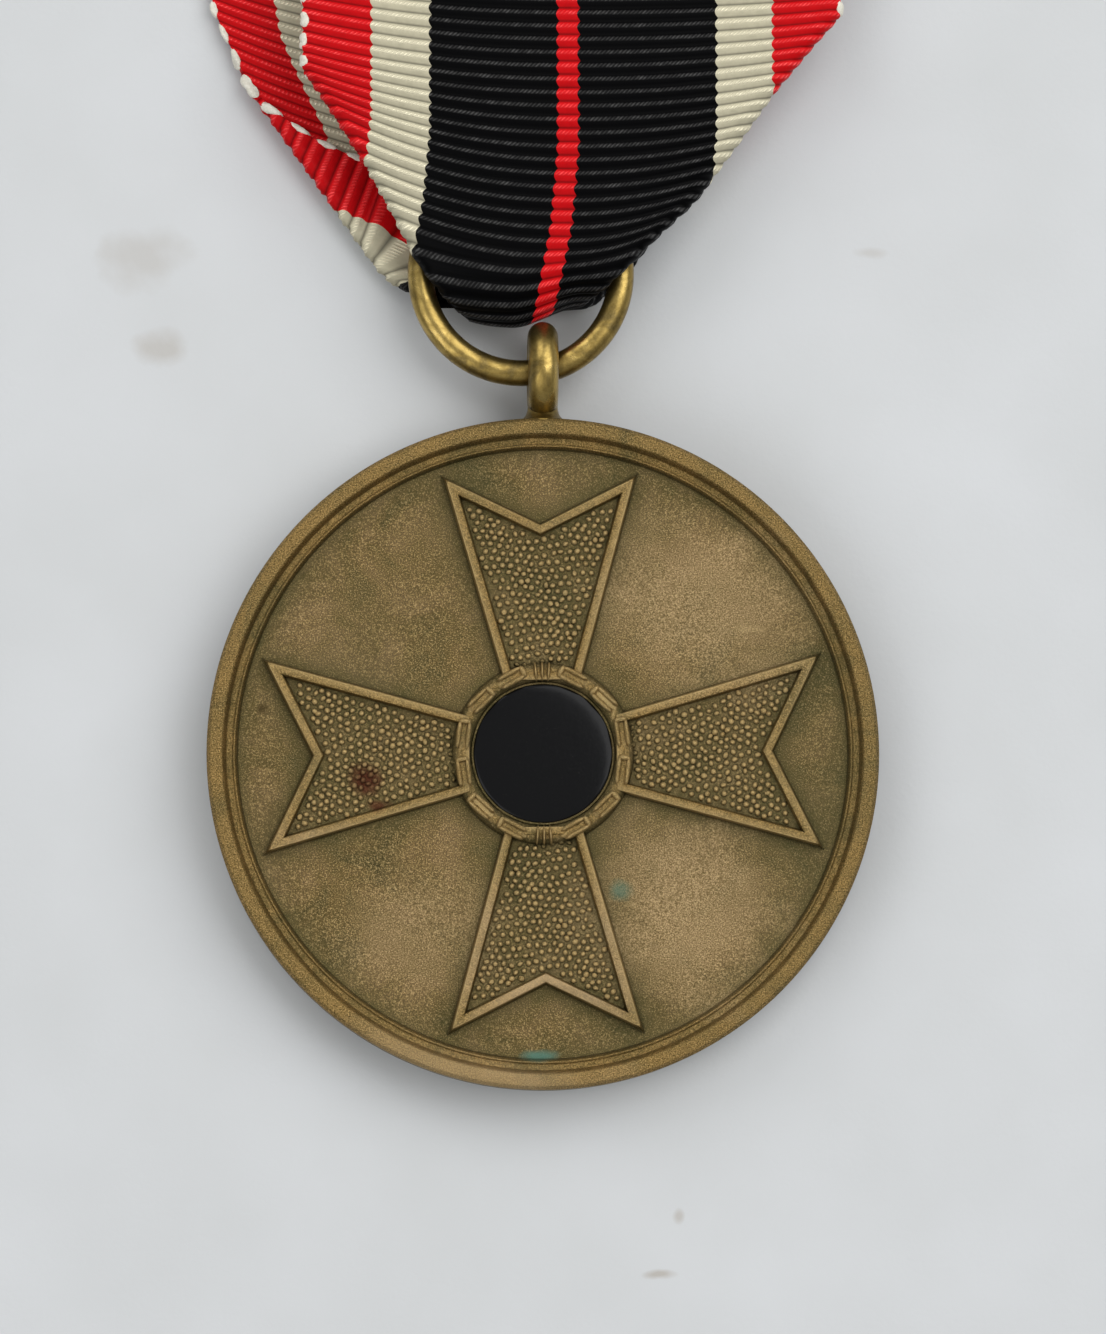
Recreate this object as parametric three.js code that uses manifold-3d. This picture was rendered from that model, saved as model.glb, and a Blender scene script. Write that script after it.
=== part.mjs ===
// A struck bronze service medal on a striped ribbon, lying face up.
// Units are millimetres. +Z points out of the medal's face, +Y from the medal towards its ribbon.
// The origin is the centre of the plain field on the medal's back.
import * as THREE from "three";
import { mergeVertices } from "three/addons/utils/BufferGeometryUtils.js";
import Module from "manifold-3d";

// ---------------------------------------------------------------- driving dimensions
// Medal disc: a coin-like blank with a raised rim on both faces.
const discRadius = 15;
const webThickness = 1.6; // from the back field to the front field
const frontRimProud = 0.7; // rim above the front field
const backRimProud = 0.3; // rim above the back field
const rimWidth = 0.65; // flat top of the rim
const rimEdgeBevel = 0.15;
const rimWall = 0.15; // run of each sloping inner wall
const ledgeWidth = 0.3; // step between the rim and the front field
const ledgeProud = 0.35; // step above the front field
const backRimInset = 1.0; // edge of the disc to the back field

// Cross: four forked arms, each a raised border round a sunk panel.
const armTipHalfWidth = 4.42;
const armTipReach = 12.53; // disc centre to the tips, along the arm
const armNotchReach = 10.36;
const armRootHalfWidth = 1.9;
const armRootReach = 3.6; // hidden under the wreath
const panelTipHalfWidth = 3.06;
const panelTipReach = 11.1;
const panelNotchReach = 9.64;
const panelRootHalfWidth = 1.4;
const borderProud = 0.42; // border above the front field
const panelProud = 0.1; // sunk panel above the front field
const borderBevel = 0.14;
const crossTurn = Math.PI / 250; // the die was set a little askew

// Wreath round the centre, with a three-bar binding at the top and the bottom.
const wreathRadius = 3.68; // middle of the wreath's band
const wreathHalfWidth = 0.48;
const wreathProud = 0.62;
const wreathBandShare = 0.75; // of the wreath's height that is its plain band
const leavesPerSide = 6;
const leafOverlap = 1.12; // leaf length over its share of the circle
const bindingBars = 3;
const barPitch = 0.27;
const barHalfWidth = 0.11;

// Plain enamelled centre, let into a seat inside the wreath.
const centreRadius = 3.1;
const centreThickness = 0.42;
const crownShare = 0.3; // of the thickness that is domed
const seatDepth = 0.2;
const seatClearance = 0.03;

// Eye: a round wire loop that stands across the rim, brazed on by its foot.
const eyeWireRadius = 0.7;
const eyeClearance = 0.18; // between the eye's hole and the ring's wire
const eyeStandOff = 0.08; // disc edge to the eye
const footRadius = 1.15;
const footNeckRadius = 0.8;
const footHeight = 1.0;
const brazeGap = 0.03;

// Suspension ring: a wire ring with one butt joint.
const ringRadius = 4.48; // to the middle of the wire
const ringWireRadius = 0.6;
const ringShift = -0.98; // the ring hangs a little off the medal's axis
const ringJointGap = 0.12;
const ringJointAngle = Math.PI / 9; // from the ring's top

// Ribbon: one woven strip through the ring, its sides tucked in where it passes through.
const ribbonWidth = 24;
const ribbonThickness = 0.45;
const tuckedThickness = 0.9; // several layers where the sides are tucked in
const legLength = 29; // from the bending line to the cut end
const frontLegX = 1.3; // middle of the front leg
const backLegX = -2.9; // middle of the back leg
const frontTuckLeft = 10.6; // what is left of the leg's half width at the bending line
const frontTuckRight = 8.1;
const backTuckLeft = 9.2;
const backTuckRight = 9.2;
const frontTuckHeight = 4.5; // above the bending line, where the tuck ends
const backTuckHeight = 6;
const loopLeftReach = 2.7; // half width of the loop where it turns, from the ring's middle
const loopRightReach = 2.0;
const loopRightFoot = 1.4; // lowest point on the loop's right side
const bendLineAboveRing = 1.3;
const bendLineGap = 0.5;
const bendToEye = 0.3;
const layerToRing = 0.4; // between a ribbon layer and the ring's wire
const neckClearance = 0.28; // between the tucked ribbon and the inside of the ring
const neckWallDepth = 0.9;
const neckOverlap = 0.2; // into the layers above and below the ring, so that they join
const ribbonToTable = 0.05;
const layerGap = 0.3; // between the two legs where they lie on each other
const frontLanding = 0.75; // share of the front leg that slopes down

// ---------------------------------------------------------------- worked-out places
const frontFieldZ = webThickness;
const rimTopZ = frontFieldZ + frontRimProud;
const rimBottomZ = -backRimProud;
const middleZ = (rimTopZ + rimBottomZ) / 2;

const eyeHoleRadius = ringWireRadius + eyeClearance;
const eyeRadius = eyeHoleRadius + eyeWireRadius;
const eyeOuterRadius = eyeRadius + eyeWireRadius;
const eyeY = discRadius + eyeStandOff + eyeOuterRadius;

const ringX = ringShift;
const ringY = eyeY + Math.sqrt(ringRadius ** 2 - ringShift ** 2);
const ringInner = ringRadius - ringWireRadius;
const ringOuter = ringRadius + ringWireRadius;

// The table touches the eye and the far edge of the rim, so it slopes down towards the ribbon.
const tableSlope = (middleZ - eyeOuterRadius - rimBottomZ) / (eyeY + discRadius);
const tableZ = (y) => middleZ - eyeOuterRadius + tableSlope * (y - eyeY);

const bendLineY = ringY + ringOuter + bendLineAboveRing;
const foldY = eyeY + eyeOuterRadius + bendToEye; // lowest point of the ribbon's loop
const frontLowZ = middleZ + ringWireRadius + layerToRing;
const frontHighZ = frontLowZ + tuckedThickness;
const backLowZ = tableZ(bendLineY) + ribbonToTable;
const backHighZ = backLowZ + tuckedThickness;
const legEndY = bendLineY + bendLineGap / 2 + legLength;

// ---------------------------------------------------------------- helpers
const wasm = await Module();
wasm.setup();

function solidFrom(geometry) {
  const bare = geometry.clone();
  bare.deleteAttribute("normal");
  bare.deleteAttribute("uv");
  const merged = mergeVertices(bare, 1e-4);
  return new wasm.Manifold(
    new wasm.Mesh({
      numProp: 3,
      vertProperties: new Float32Array(merged.attributes.position.array),
      triVerts: new Uint32Array(merged.index.array),
    }),
  );
}

function geometryFrom(solid) {
  const mesh = solid.getMesh();
  const geometry = new THREE.BufferGeometry();
  geometry.setAttribute("position", new THREE.BufferAttribute(mesh.vertProperties, 3));
  geometry.setIndex(new THREE.BufferAttribute(mesh.triVerts, 1));
  geometry.computeVertexNormals();
  return geometry;
}

// A shape in the XY plane from a list of [x, y] points.
const outline = (points) => new THREE.Shape(points.map(([x, y]) => new THREE.Vector2(x, y)));

function prism(shape, lowZ, highZ, bevel = 0) {
  const geometry = new THREE.ExtrudeGeometry(shape, {
    depth: highZ - lowZ - 2 * bevel,
    bevelEnabled: bevel > 0,
    bevelThickness: bevel,
    bevelSize: bevel,
    bevelOffset: -bevel,
    bevelSegments: 1,
    curveSegments: 24,
  });
  geometry.translate(0, 0, lowZ + bevel);
  return geometry;
}

// An outline given as [y, z] points, drawn out along X from lowX to highX.
function sideProfile(points, lowX, highX) {
  const geometry = new THREE.ExtrudeGeometry(outline(points), {
    depth: highX - lowX,
    bevelEnabled: false,
  });
  geometry.rotateY(Math.PI / 2);
  geometry.rotateX(Math.PI / 2);
  geometry.translate(lowX, 0, 0);
  return geometry;
}

const bronze = new THREE.MeshStandardMaterial({ color: 0x8a7040, roughness: 0.45, metalness: 1 });
const brass = new THREE.MeshStandardMaterial({ color: 0x8c7636, roughness: 0.35, metalness: 1 });
const enamel = new THREE.MeshStandardMaterial({ color: 0x060606, roughness: 0.25, metalness: 0 });
const weave = new THREE.MeshStandardMaterial({ color: 0x16161a, roughness: 0.85, metalness: 0 });

function part(name, geometry, material) {
  const mesh = new THREE.Mesh(geometry, material);
  mesh.name = name;
  return mesh;
}

// ---------------------------------------------------------------- medal disc
// The turned blank: both fields, the rims and the step inside the front rim.
function blank() {
  const rimInner = discRadius - rimEdgeBevel - rimWidth;
  const ledgeOuter = rimInner - rimWall;
  const ledgeInner = ledgeOuter - ledgeWidth;
  const backField = discRadius - backRimInset;
  const profile = [
    [0, 0],
    [backField, 0],
    [backField + rimWall, rimBottomZ],
    [discRadius - rimEdgeBevel, rimBottomZ],
    [discRadius, rimBottomZ + rimEdgeBevel],
    [discRadius, rimTopZ - rimEdgeBevel],
    [discRadius - rimEdgeBevel, rimTopZ],
    [rimInner, rimTopZ],
    [ledgeOuter, frontFieldZ + ledgeProud],
    [ledgeInner, frontFieldZ + ledgeProud],
    [ledgeInner - rimWall / 2, frontFieldZ],
    [0, frontFieldZ],
  ];
  const turned = new THREE.LatheGeometry(profile.map(([r, z]) => new THREE.Vector2(r, z)), 96);
  turned.rotateX(Math.PI / 2);
  return solidFrom(turned);
}

// One forked arm pointing along +Y, as a border and the panel sunk into it.
function crossArm(angle) {
  const border = outline([
    [-armRootHalfWidth, armRootReach],
    [armRootHalfWidth, armRootReach],
    [armTipHalfWidth, armTipReach],
    [0, armNotchReach],
    [-armTipHalfWidth, armTipReach],
  ]);
  const panel = outline([
    [-panelRootHalfWidth, armRootReach],
    [panelRootHalfWidth, armRootReach],
    [panelTipHalfWidth, panelTipReach],
    [0, panelNotchReach],
    [-panelTipHalfWidth, panelTipReach],
  ]);
  const embed = webThickness / 2;
  const raised = prism(border, frontFieldZ - embed, frontFieldZ + borderProud, borderBevel);
  const sunk = prism(panel, frontFieldZ + panelProud, frontFieldZ + 2 * borderProud);
  raised.rotateZ(angle);
  sunk.rotateZ(angle);
  return solidFrom(raised).subtract(solidFrom(sunk));
}

// A rounded lump of the wreath, lying along the circle at the given angle.
function wreathLump(angle, halfLength, halfWidth, proud) {
  const lump = new THREE.SphereGeometry(1, 12, 8);
  lump.scale(halfWidth, halfLength, proud);
  lump.translate(wreathRadius, 0, 0);
  lump.rotateZ(angle);
  lump.translate(0, 0, frontFieldZ);
  return solidFrom(lump);
}

function wreath() {
  const band = new THREE.TorusGeometry(wreathRadius, wreathHalfWidth, 10, 72);
  band.scale(1, 1, (wreathBandShare * wreathProud) / wreathHalfWidth);
  band.translate(0, 0, frontFieldZ);
  let whole = solidFrom(band);
  const bindingHalfAngle = ((bindingBars / 2) * barPitch + barHalfWidth) / wreathRadius;
  const leafAngle = (Math.PI - 2 * bindingHalfAngle) / leavesPerSide;
  const leafHalfLength = (leafOverlap * leafAngle * wreathRadius) / 2;
  for (const side of [crossTurn, crossTurn + Math.PI]) {
    for (let i = 0; i < leavesPerSide; i++) {
      const angle = side - Math.PI / 2 + bindingHalfAngle + (i + 0.5) * leafAngle;
      whole = whole.add(wreathLump(angle, leafHalfLength, wreathHalfWidth, wreathProud));
    }
    for (let i = 0; i < bindingBars; i++) {
      const angle = side + Math.PI / 2 + ((i - (bindingBars - 1) / 2) * barPitch) / wreathRadius;
      whole = whole.add(wreathLump(angle, barHalfWidth, wreathHalfWidth, wreathProud));
    }
  }
  return whole;
}

function medalDisc() {
  let disc = blank();
  for (let arm = 0; arm < 4; arm++) disc = disc.add(crossArm((arm * Math.PI) / 2 + crossTurn));
  disc = disc.add(wreath());
  const seat = new THREE.CylinderGeometry(
    centreRadius + seatClearance,
    centreRadius + seatClearance,
    2 * frontRimProud + seatDepth,
    72,
  );
  seat.rotateX(Math.PI / 2);
  seat.translate(0, 0, frontFieldZ - seatDepth + (2 * frontRimProud + seatDepth) / 2);
  return geometryFrom(disc.subtract(solidFrom(seat)));
}

// The enamelled centre: a shallow dome on a flat back.
function centreDisc() {
  const bottomZ = frontFieldZ - seatDepth + seatClearance;
  const edgeZ = bottomZ + centreThickness * (1 - crownShare);
  const crown = [];
  const steps = 6;
  for (let i = 0; i <= steps; i++) {
    const r = centreRadius * (1 - i / steps);
    const rise = centreThickness * crownShare * (1 - (r / centreRadius) ** 2);
    crown.push([i === steps ? 0 : r, edgeZ + rise]);
  }
  const profile = [[0, bottomZ], [centreRadius, bottomZ], ...crown];
  const turned = new THREE.LatheGeometry(profile.map(([r, z]) => new THREE.Vector2(r, z)), 72);
  turned.rotateX(Math.PI / 2);
  return turned;
}

// ---------------------------------------------------------------- eye and its foot
function eye() {
  const loop = new THREE.TorusGeometry(eyeRadius, eyeWireRadius, 14, 36);
  loop.rotateY(Math.PI / 2);
  loop.translate(0, eyeY, middleZ);
  return loop;
}

// The brazed foot flares from the eye down to the disc's edge.
function foot() {
  const profile = [[0, 0]];
  const steps = 6;
  for (let i = 0; i <= steps; i++) {
    const t = i / steps;
    const flare = (1 - t) ** 2;
    profile.push([footNeckRadius + (footRadius - footNeckRadius) * flare, t * footHeight]);
  }
  profile.push([0, footHeight]);
  const flared = new THREE.LatheGeometry(profile.map(([r, h]) => new THREE.Vector2(r, h)), 24);
  flared.translate(0, discRadius - eyeStandOff, middleZ);
  const edgeRadius = discRadius + brazeGap;
  const edge = new THREE.CylinderGeometry(edgeRadius, edgeRadius, 4 * footRadius + rimTopZ, 288);
  edge.rotateX(Math.PI / 2);
  const wire = new THREE.TorusGeometry(eyeRadius, eyeWireRadius + brazeGap, 20, 60);
  wire.rotateY(Math.PI / 2);
  wire.translate(0, eyeY, middleZ);
  return geometryFrom(solidFrom(flared).subtract(solidFrom(edge)).subtract(solidFrom(wire)));
}

// ---------------------------------------------------------------- suspension ring
function ring() {
  const wire = new THREE.TorusGeometry(ringRadius, ringWireRadius, 14, 72);
  const cut = new THREE.BoxGeometry(ringJointGap, 4 * ringWireRadius, 4 * ringWireRadius);
  cut.translate(0, ringRadius, 0);
  cut.rotateZ(ringJointAngle);
  const open = geometryFrom(solidFrom(wire).subtract(solidFrom(cut)));
  open.translate(ringX, ringY, middleZ);
  return open;
}

// ---------------------------------------------------------------- ribbon
// Where the two edges of a leg stand at the bending line.
const frontTuck = [
  [frontLegX - frontTuckLeft, bendLineY],
  [frontLegX + frontTuckRight, bendLineY],
];
const backTuck = [
  [backLegX - backTuckLeft, bendLineY],
  [backLegX + backTuckRight, bendLineY],
];

// The tucked-in loop: a flattened C seen from the side, through the ring and round its upper arc.
function ribbonLoop() {
  const endY = bendLineY - bendLineGap / 2;
  const bowZ = (frontHighZ + backLowZ) / 2;
  const bowHalf = (frontHighZ - backLowZ) / 2;
  const bowY = foldY + bowHalf;
  const arc = (radiusY, radiusZ, from, to) => {
    const points = [];
    const steps = 10;
    for (let i = 0; i <= steps; i++) {
      const a = from + ((to - from) * i) / steps;
      points.push([bowY + radiusY * Math.cos(a), bowZ + radiusZ * Math.sin(a)]);
    }
    return points;
  };
  const c = solidFrom(
    sideProfile(
      [
        [endY, backLowZ],
        [endY, backHighZ],
        ...arc(bowHalf - neckWallDepth, bowHalf - tuckedThickness, -Math.PI / 2, -1.5 * Math.PI),
        [endY, frontLowZ],
        [endY, frontHighZ],
        ...arc(bowHalf, bowHalf, Math.PI / 2, 1.5 * Math.PI),
      ],
      -ribbonWidth,
      ribbonWidth,
    ),
  );
  const inside = ringInner - neckClearance;
  const turnLeft = [ringX - loopLeftReach, foldY - bendToEye];
  const turnRight = [
    [ringX + loopRightReach, foldY],
    [ringX + loopRightFoot, foldY - bendToEye],
  ];
  const frontPlan = outline([
    turnLeft,
    [ringX - ringRadius, ringY],
    ...frontTuck,
    [ringX + ringOuter, ringY + ringWireRadius],
    ...turnRight,
  ]);
  const backPlan = outline([
    turnLeft,
    [ringX - ringOuter - ringWireRadius, ringY],
    ...backTuck,
    [ringX + ringRadius, ringY],
    ...turnRight,
  ]);
  const neckPlan = new THREE.Shape();
  neckPlan.absarc(ringX, ringY, inside, 0, 2 * Math.PI);
  const neckLowZ = middleZ - ringWireRadius - layerToRing;
  const topZ = frontHighZ + tuckedThickness;
  const bottomZ = backLowZ - tuckedThickness;
  const front = solidFrom(prism(frontPlan, frontLowZ, topZ));
  const back = solidFrom(prism(backPlan, bottomZ, neckLowZ));
  const neck = solidFrom(prism(neckPlan, neckLowZ - neckOverlap, frontLowZ + neckOverlap))
    .intersect(solidFrom(prism(frontPlan, bottomZ, topZ)))
    .intersect(solidFrom(prism(backPlan, bottomZ, topZ)));
  return geometryFrom(c.intersect(front).add(c.intersect(neck)).add(c.intersect(back)));
}

// A leg seen from above: full width from its cut end down to the tuck, narrower at the bending line.
function legPlan(middleX, tuck, tuckHeight) {
  const half = ribbonWidth / 2;
  return outline([
    ...tuck,
    [middleX + half, bendLineY + tuckHeight],
    [middleX + half, legEndY],
    [middleX - half, legEndY],
    [middleX - half, bendLineY + tuckHeight],
  ]);
}

// A leg as a sheet: its underside follows a height over Y, cut to the plan seen from above.
function leg(plan, undersideZ) {
  const startY = bendLineY + bendLineGap / 2;
  const steps = 14;
  const low = [];
  for (let i = 0; i <= steps; i++) {
    const y = startY + (legLength * i) / steps;
    low.push([y, undersideZ(y)]);
  }
  const high = low.map(([y, z]) => [y, z + ribbonThickness]).reverse();
  const side = solidFrom(sideProfile([...low, ...high], -ribbonWidth, ribbonWidth));
  return geometryFrom(side.intersect(solidFrom(prism(plan, -legLength, legLength))));
}

const backLegZ = (y) => tableZ(y) + ribbonToTable;

// The front leg comes down from the top of the ring and then lies on the back leg.
function frontLegZ(y) {
  const restZ = backLegZ(y) + ribbonThickness + layerGap;
  const t = Math.min(1, (y - bendLineY) / (frontLanding * legLength));
  const ease = t * t * (3 - 2 * t);
  return frontHighZ - ribbonThickness + (restZ - frontHighZ + ribbonThickness) * ease;
}

// ---------------------------------------------------------------- assembly
const medal = new THREE.Group();
medal.add(
  part("medal_disc", medalDisc(), bronze),
  part("centre_disc", centreDisc(), enamel),
  part("suspension_eye", eye(), brass),
  part("eye_foot", foot(), brass),
);

const ribbon = new THREE.Group();
ribbon.add(
  part("ribbon_loop", ribbonLoop(), weave),
  part("ribbon_front_leg", leg(legPlan(frontLegX, frontTuck, frontTuckHeight), frontLegZ), weave),
  part("ribbon_back_leg", leg(legPlan(backLegX, backTuck, backTuckHeight), backLegZ), weave),
);

const root = new THREE.Group();
root.add(medal, part("suspension_ring", ring(), brass), ribbon);

export default root;
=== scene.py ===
"""A struck bronze service medal, hung by an eye and a ring from a folded ribbon, lying face up."""

import math
import random

import bmesh
import bpy
import numpy as np
from mathutils import Matrix, Vector


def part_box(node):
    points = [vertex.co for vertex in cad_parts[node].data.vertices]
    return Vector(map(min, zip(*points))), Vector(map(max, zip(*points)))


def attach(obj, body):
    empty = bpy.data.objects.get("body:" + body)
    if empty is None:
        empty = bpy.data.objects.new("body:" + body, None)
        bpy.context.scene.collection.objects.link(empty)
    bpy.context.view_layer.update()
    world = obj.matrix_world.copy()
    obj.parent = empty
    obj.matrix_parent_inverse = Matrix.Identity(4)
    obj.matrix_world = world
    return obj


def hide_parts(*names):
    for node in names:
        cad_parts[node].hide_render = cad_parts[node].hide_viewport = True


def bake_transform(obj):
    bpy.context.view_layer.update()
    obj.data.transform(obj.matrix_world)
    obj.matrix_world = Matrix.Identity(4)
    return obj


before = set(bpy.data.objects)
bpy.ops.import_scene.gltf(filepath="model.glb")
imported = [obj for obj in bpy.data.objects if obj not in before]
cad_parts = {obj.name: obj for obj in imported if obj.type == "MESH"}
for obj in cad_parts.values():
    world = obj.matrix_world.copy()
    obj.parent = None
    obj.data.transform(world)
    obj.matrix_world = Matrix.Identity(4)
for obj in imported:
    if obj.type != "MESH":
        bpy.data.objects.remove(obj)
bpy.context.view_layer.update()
mm = 0.001


# ---------------------------------------------------------------- view
# The medal is seen from above by a long lens, leaning a little towards the medal's lower edge
# and its left, and level with its ribbon.
view_centre = Vector((0.45, 3.88, 1.6)) * mm
view_height = 59.6 * mm
view_distance = 350 * mm
lean_down = math.radians(4.0)
lean_left = math.radians(1.5)

towards_camera = Vector((-math.sin(lean_left), -math.sin(lean_down), math.cos(lean_down))).normalized()
to_the_right = Vector((0, 1, 0)).cross(towards_camera).normalized()
upwards = towards_camera.cross(to_the_right)
camera_data = bpy.data.cameras.new("camera")
camera_data.sensor_width = 36
camera_data.lens = camera_data.sensor_width * view_distance / view_height
camera_data.clip_start = 0.01
camera = bpy.data.objects.new("camera", camera_data)
bpy.context.scene.collection.objects.link(camera)
turned_to = Matrix((to_the_right, upwards, towards_camera)).transposed().to_4x4()
camera.matrix_world = Matrix.Translation(view_centre + towards_camera * view_distance) @ turned_to
bpy.context.scene.camera = camera


# ---------------------------------------------------------------- table
# The medal lies on a sheet of matt paper. It touches the paper with the far edge of its rim and
# with the loop of its ribbon, so the paper slopes down that way in the medal's own frame.
def linear(hex_colour):
    """An sRGB hex colour as linear red, green, blue and alpha."""
    parts = [int(hex_colour[i : i + 2], 16) / 255 for i in (1, 3, 5)]
    return (*[((c + 0.055) / 1.055) ** 2.4 if c > 0.04045 else c / 12.92 for c in parts], 1)


def add(material, kind, settings=None, links=None):
    """Adds a shader node to a material, with its settings and the sockets that feed it."""
    node = material.node_tree.nodes.new("ShaderNode" + kind)
    for name, value in (settings or {}).items():
        if name == "stops":
            ramp = node.color_ramp.elements
            while len(ramp) < len(value):
                ramp.new(1)
            for stop, (position, colour) in zip(ramp, value):
                stop.position = position
                stop.color = linear(colour)
        elif name == "interpolation" and kind == "ValToRGB":
            node.color_ramp.interpolation = value
        elif isinstance(name, str) and hasattr(node, name):
            setattr(node, name, value)
        else:
            node.inputs[name].default_value = value
    for name, source in (links or {}).items():
        material.node_tree.links.new(source, node.inputs[name])
    return node


def new_material(name):
    """A material with no nodes yet."""
    material = bpy.data.materials.new(name)
    material.use_nodes = True
    material.node_tree.nodes.clear()
    return material


def close_material(material, settings, links):
    """Ends a material with its shader."""
    shader = add(material, "BsdfPrincipled", settings, links)
    add(material, "OutputMaterial", links={"Surface": shader.outputs["BSDF"]})
    return material


def mix(material, factor, first, second, blend="MIX"):
    """Two colours mixed by a factor; a colour may be a hex value or a socket."""
    node = add(material, "Mix", {"data_type": "RGBA", "blend_type": blend})
    for index, value in ((0, factor), (6, first), (7, second)):
        if isinstance(value, str):
            node.inputs[index].default_value = linear(value)
        elif isinstance(value, (int, float)):
            node.inputs[index].default_value = value
        else:
            material.node_tree.links.new(value, node.inputs[index])
    return node.outputs[2]


def stain(material, place, centre, size, rough):
    """How far a place is inside a ragged oval stain, from 0 to 1. Sizes are in millimetres."""
    raggedness = 1.1
    wobble = add(
        material,
        "TexNoise",
        {"Scale": 1 / (rough * mm), "Detail": 3},
        {"Vector": place},
    ).outputs["Color"]
    spread = add(
        material,
        "VectorMath",
        {
            "operation": "MULTIPLY_ADD",
            1: (raggedness, raggedness, 0),
            2: (-raggedness / 2, -raggedness / 2, 0),
        },
        {0: wobble},
    ).outputs[0]
    offset = add(
        material,
        "VectorMath",
        {"operation": "SUBTRACT", 1: [c * mm for c in centre]},
        {0: place},
    ).outputs[0]
    scaled = add(
        material,
        "VectorMath",
        {"operation": "MULTIPLY", 1: [1 / (s * mm) for s in size]},
        {0: offset},
    ).outputs[0]
    ragged = add(material, "VectorMath", {"operation": "ADD"}, {0: scaled, 1: spread}).outputs[0]
    reach = add(material, "VectorMath", {"operation": "LENGTH"}, {0: ragged}).outputs["Value"]
    return add(
        material,
        "MapRange",
        {"From Min": 0.3, "From Max": 1.0, "To Min": 1.0, "To Max": 0.0},
        {"Value": reach},
    ).outputs["Result"]


def made(name, bm, material):
    """A finished mesh as an object at the origin, its faces smooth between sharp edges."""
    sharp_angle = math.radians(38)
    mesh = bpy.data.meshes.new(name)
    bm.to_mesh(mesh)
    bm.free()
    mesh.materials.append(material)
    mesh.polygons.foreach_set("use_smooth", [True] * len(mesh.polygons))
    mesh.set_sharp_from_angle(angle=sharp_angle)
    obj = bpy.data.objects.new(name, mesh)
    bpy.context.scene.collection.objects.link(obj)
    return obj


# Matt uncoated paper: its fibres scatter light evenly, with a faint cloudy tooth.
paper = new_material("matt_paper")
paper_place = add(paper, "TexCoord").outputs["Object"]
paper_clouds = add(paper, "TexNoise", {"Scale": 1 / (9 * mm), "Detail": 3}, {"Vector": paper_place})
paper_tooth = add(paper, "TexNoise", {"Scale": 1 / (0.35 * mm), "Detail": 2}, {"Vector": paper_place})
paper_relief = add(
    paper,
    "Bump",
    {"Strength": 0.25, "Distance": 0.05 * mm},
    {"Height": paper_tooth.outputs["Fac"]},
)
paper_colour = mix(paper, paper_clouds.outputs["Fac"], "#bfc1c1", "#ccced0")
# Old fingers have left a few faint brown smudges.
for centre, size, strength in (
    ((-18.0, 22.6, -1.4), (2.4, 1.7, 99), 0.22),
    ((-17.2, 18.4, -1.4), (1.3, 1.0, 99), 0.3),
    ((15.0, 22.9, -1.4), (0.9, 0.3, 99), 0.2),
    ((5.2, -23.2, -0.6), (0.9, 0.25, 99), 0.45),
    ((6.1, -20.6, -0.6), (0.3, 0.4, 99), 0.35),
):
    smudge = stain(paper, paper_place, centre, size, 1.6)
    amount = add(paper, "Math", {"operation": "MULTIPLY", 1: strength}, {0: smudge}).outputs[0]
    paper_colour = mix(paper, amount, paper_colour, "#8f7f68")
close_material(
    paper,
    {"Roughness": 0.85, "Specular IOR Level": 0.2},
    {
        "Base Color": paper_colour,
        "Normal": paper_relief.outputs["Normal"],
    },
)

disc_low, disc_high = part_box("medal_disc")
loop_low, loop_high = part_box("ribbon_loop")
loop_y = loop_low.y + (loop_high.z - loop_low.z) / 2
table_slope = (loop_low.z - disc_low.z) / (loop_y - disc_low.y)
table_gap = 0.02 * mm
bm = bmesh.new()
bmesh.ops.create_grid(bm, x_segments=1, y_segments=1, size=0.5)
for vert in bm.verts:
    vert.co.z = disc_low.z - table_gap + table_slope * (vert.co.y - disc_low.y)
made("table", bm, paper)


# ---------------------------------------------------------------- lights
# A large soft light from the upper right, two weaker ones from the left, and a pale room.
for name, place, size, power in (
    ("window", (0.24, 0.17, 0.36), 0.45, 1.5),
    ("lamp", (-0.3, -0.2, 0.38), 0.35, 0.6),
    ("fill", (-0.2, 0.38, 0.3), 0.3, 0.6),
):
    lamp_data = bpy.data.lights.new(name, "AREA")
    lamp_data.size = size
    lamp_data.energy = power
    lamp = bpy.data.objects.new(name, lamp_data)
    bpy.context.scene.collection.objects.link(lamp)
    aim = (Vector(place) - view_centre).to_track_quat("Z", "Y")
    lamp.matrix_world = Matrix.Translation(place) @ aim.to_matrix().to_4x4()
# The room is bright overhead and darker to the sides, so slopes in the metal look darker.
room = bpy.data.worlds.new("room")
room.use_nodes = True
backdrop = room.node_tree.nodes["Background"]
room_place = add(room, "TexCoord").outputs["Generated"]
room_height = add(room, "SeparateXYZ", links={"Vector": room_place}).outputs["Z"]
room_light = add(
    room,
    "MapRange",
    {"From Min": 0.1, "From Max": 0.9, "To Min": 0.22, "To Max": 0.78},
    {"Value": room_height},
).outputs["Result"]
backdrop.inputs["Color"].default_value = linear("#e8e9ea")
room.node_tree.links.new(room_light, backdrop.inputs["Strength"])
bpy.context.scene.world = room
bpy.context.scene.view_settings.view_transform = "Standard"


# ---------------------------------------------------------------- medal disc
# The medal is a disc of bronze struck cold between two dies, which raise the rims in one piece
# with the relief. Years of handling have left it brown, with its high edges rubbed bright; painted
# highlights lie on some.
weld = 1e-3 * mm  # points closer than this are one point


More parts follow.
